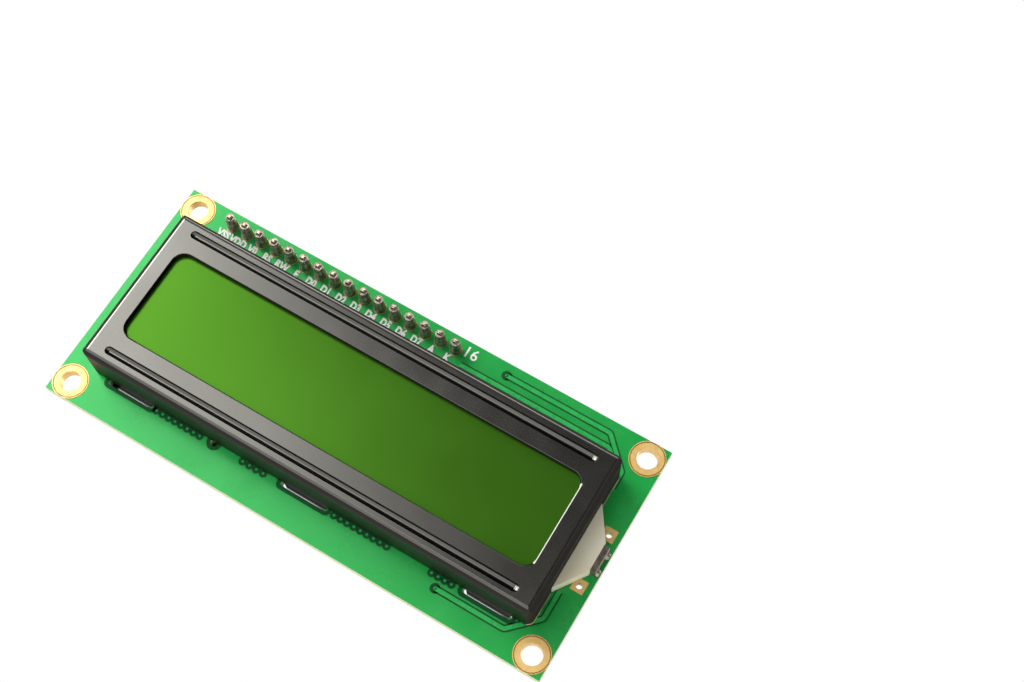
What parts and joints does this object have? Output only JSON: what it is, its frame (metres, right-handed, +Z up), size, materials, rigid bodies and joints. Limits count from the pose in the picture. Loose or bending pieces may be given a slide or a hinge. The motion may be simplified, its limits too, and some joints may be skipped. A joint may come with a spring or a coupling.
{
  "type": "character lcd module",
  "caption": "Green-backed character display in a black pressed bezel, with a pin header and a small black serial-bus board behind it.",
  "frame": {"origin": "centre of the four mounting holes, on the front face of the LCD board", "axes": "+Z up to the edge with the 16 pins, +X along the display to the end with the backlight LED, -Y out of the viewing side"},
  "size_m": [0.08, 0.0199, 0.036],
  "materials": {
    "green_solder_mask": "glossy green solder mask over glass-fibre board",
    "black_solder_mask": "satin black solder mask over glass-fibre board",
    "gold_plate": "thin gold plating",
    "black_steel": "satin black coating on pressed steel",
    "polariser_film": "glossy yellow-green film",
    "glass": "polished",
    "seal_resin": "cured resin",
    "white_film": "matte white film",
    "light_guide_acrylic": "cream moulded plastic",
    "contact_rubber": "layered conductive rubber",
    "led_resin": "milky resin",
    "solder": "tin solder",
    "silicon": "bare chip",
    "black_epoxy": "satin cured epoxy",
    "chip_ceramic": "black glazed ceramic with tinned ends",
    "tan_ceramic": "tan ceramic with tinned ends",
    "element_ceramic": "white ceramic",
    "black_plastic": "moulded",
    "grey_plastic": "moulded",
    "blue_plastic": "moulded",
    "cream_plastic": "moulded",
    "chip_resin": "moulded epoxy resin",
    "pin_metal": "tinned brass",
    "spring_brass": "bright brass strip"
  },
  "bodies": {
    "module": {"lcd_board": "green_solder_mask", "mounting_rings": "gold_plate", "board_lands": "gold_plate", "bezel": "black_steel", "front_polariser": "polariser_film", "front_glass": "glass", "cell_seal": "seal_resin", "rear_glass": "glass", "rear_polariser": "polariser_film", "diffuser_film": "white_film", "light_guide": "light_guide_acrylic", "reflector_sheet": "white_film", "contact_strips": "contact_rubber", "backlight_led": "led_resin", "backlight_leads": "solder", "backlight_solder": "solder", "controller_die": "silicon", "driver_die": "silicon", "controller_epoxy": "black_epoxy", "driver_epoxy": "black_epoxy", "lcd_resistor_1": "chip_ceramic", "lcd_resistor_2": "chip_ceramic", "lcd_resistor_3": "chip_ceramic", "lcd_resistor_6": "chip_ceramic", "lcd_resistor_8": "chip_ceramic", "header_strip": "black_plastic", "header_pins": "pin_metal", "lcd_header_solder": "solder", "backpack_header_solder": "solder", "backpack_board": "black_solder_mask", "backpack_lands": "gold_plate", "expander_chip": "chip_resin", "expander_leads": "solder", "trimmer_housing": "blue_plastic", "trimmer_element": "element_ceramic", "trimmer_pins": "solder", "jumper_strip": "black_plastic", "jumper_pins": "pin_metal", "bus_strip": "black_plastic", "bus_pins": "pin_metal", "backpack_pin_solder": "solder", "power_led": "led_resin", "transistor_body": "chip_resin", "transistor_leads": "solder", "filter_capacitor": "tan_ceramic", "backpack_resistor_4": "chip_ceramic", "backpack_resistor_5": "chip_ceramic", "backpack_resistor_6": "chip_ceramic", "backpack_resistor_7": "chip_ceramic", "backpack_resistor_8": "chip_ceramic", "backpack_resistor_9": "chip_ceramic", "backpack_resistor_10": "chip_ceramic"},
    "rotor": {"trimmer_rotor": "cream_plastic", "trimmer_wiper": "spring_brass"},
    "jumper": {"jumper_cap": "grey_plastic", "jumper_clip": "spring_brass"}
  },
  "joints": [
    {"name": "trimmer_turn", "type": "hinge", "parent": "module", "child": "rotor", "pos_m": [-0.024, 0.0119, 0.0096], "axis": [0, 1, 0], "range_deg": [-135, 135]},
    {"name": "jumper_pull", "type": "slide", "parent": "module", "child": "jumper", "axis": [1, 0, 0], "range_m": [0, 0.008]}
  ]
}
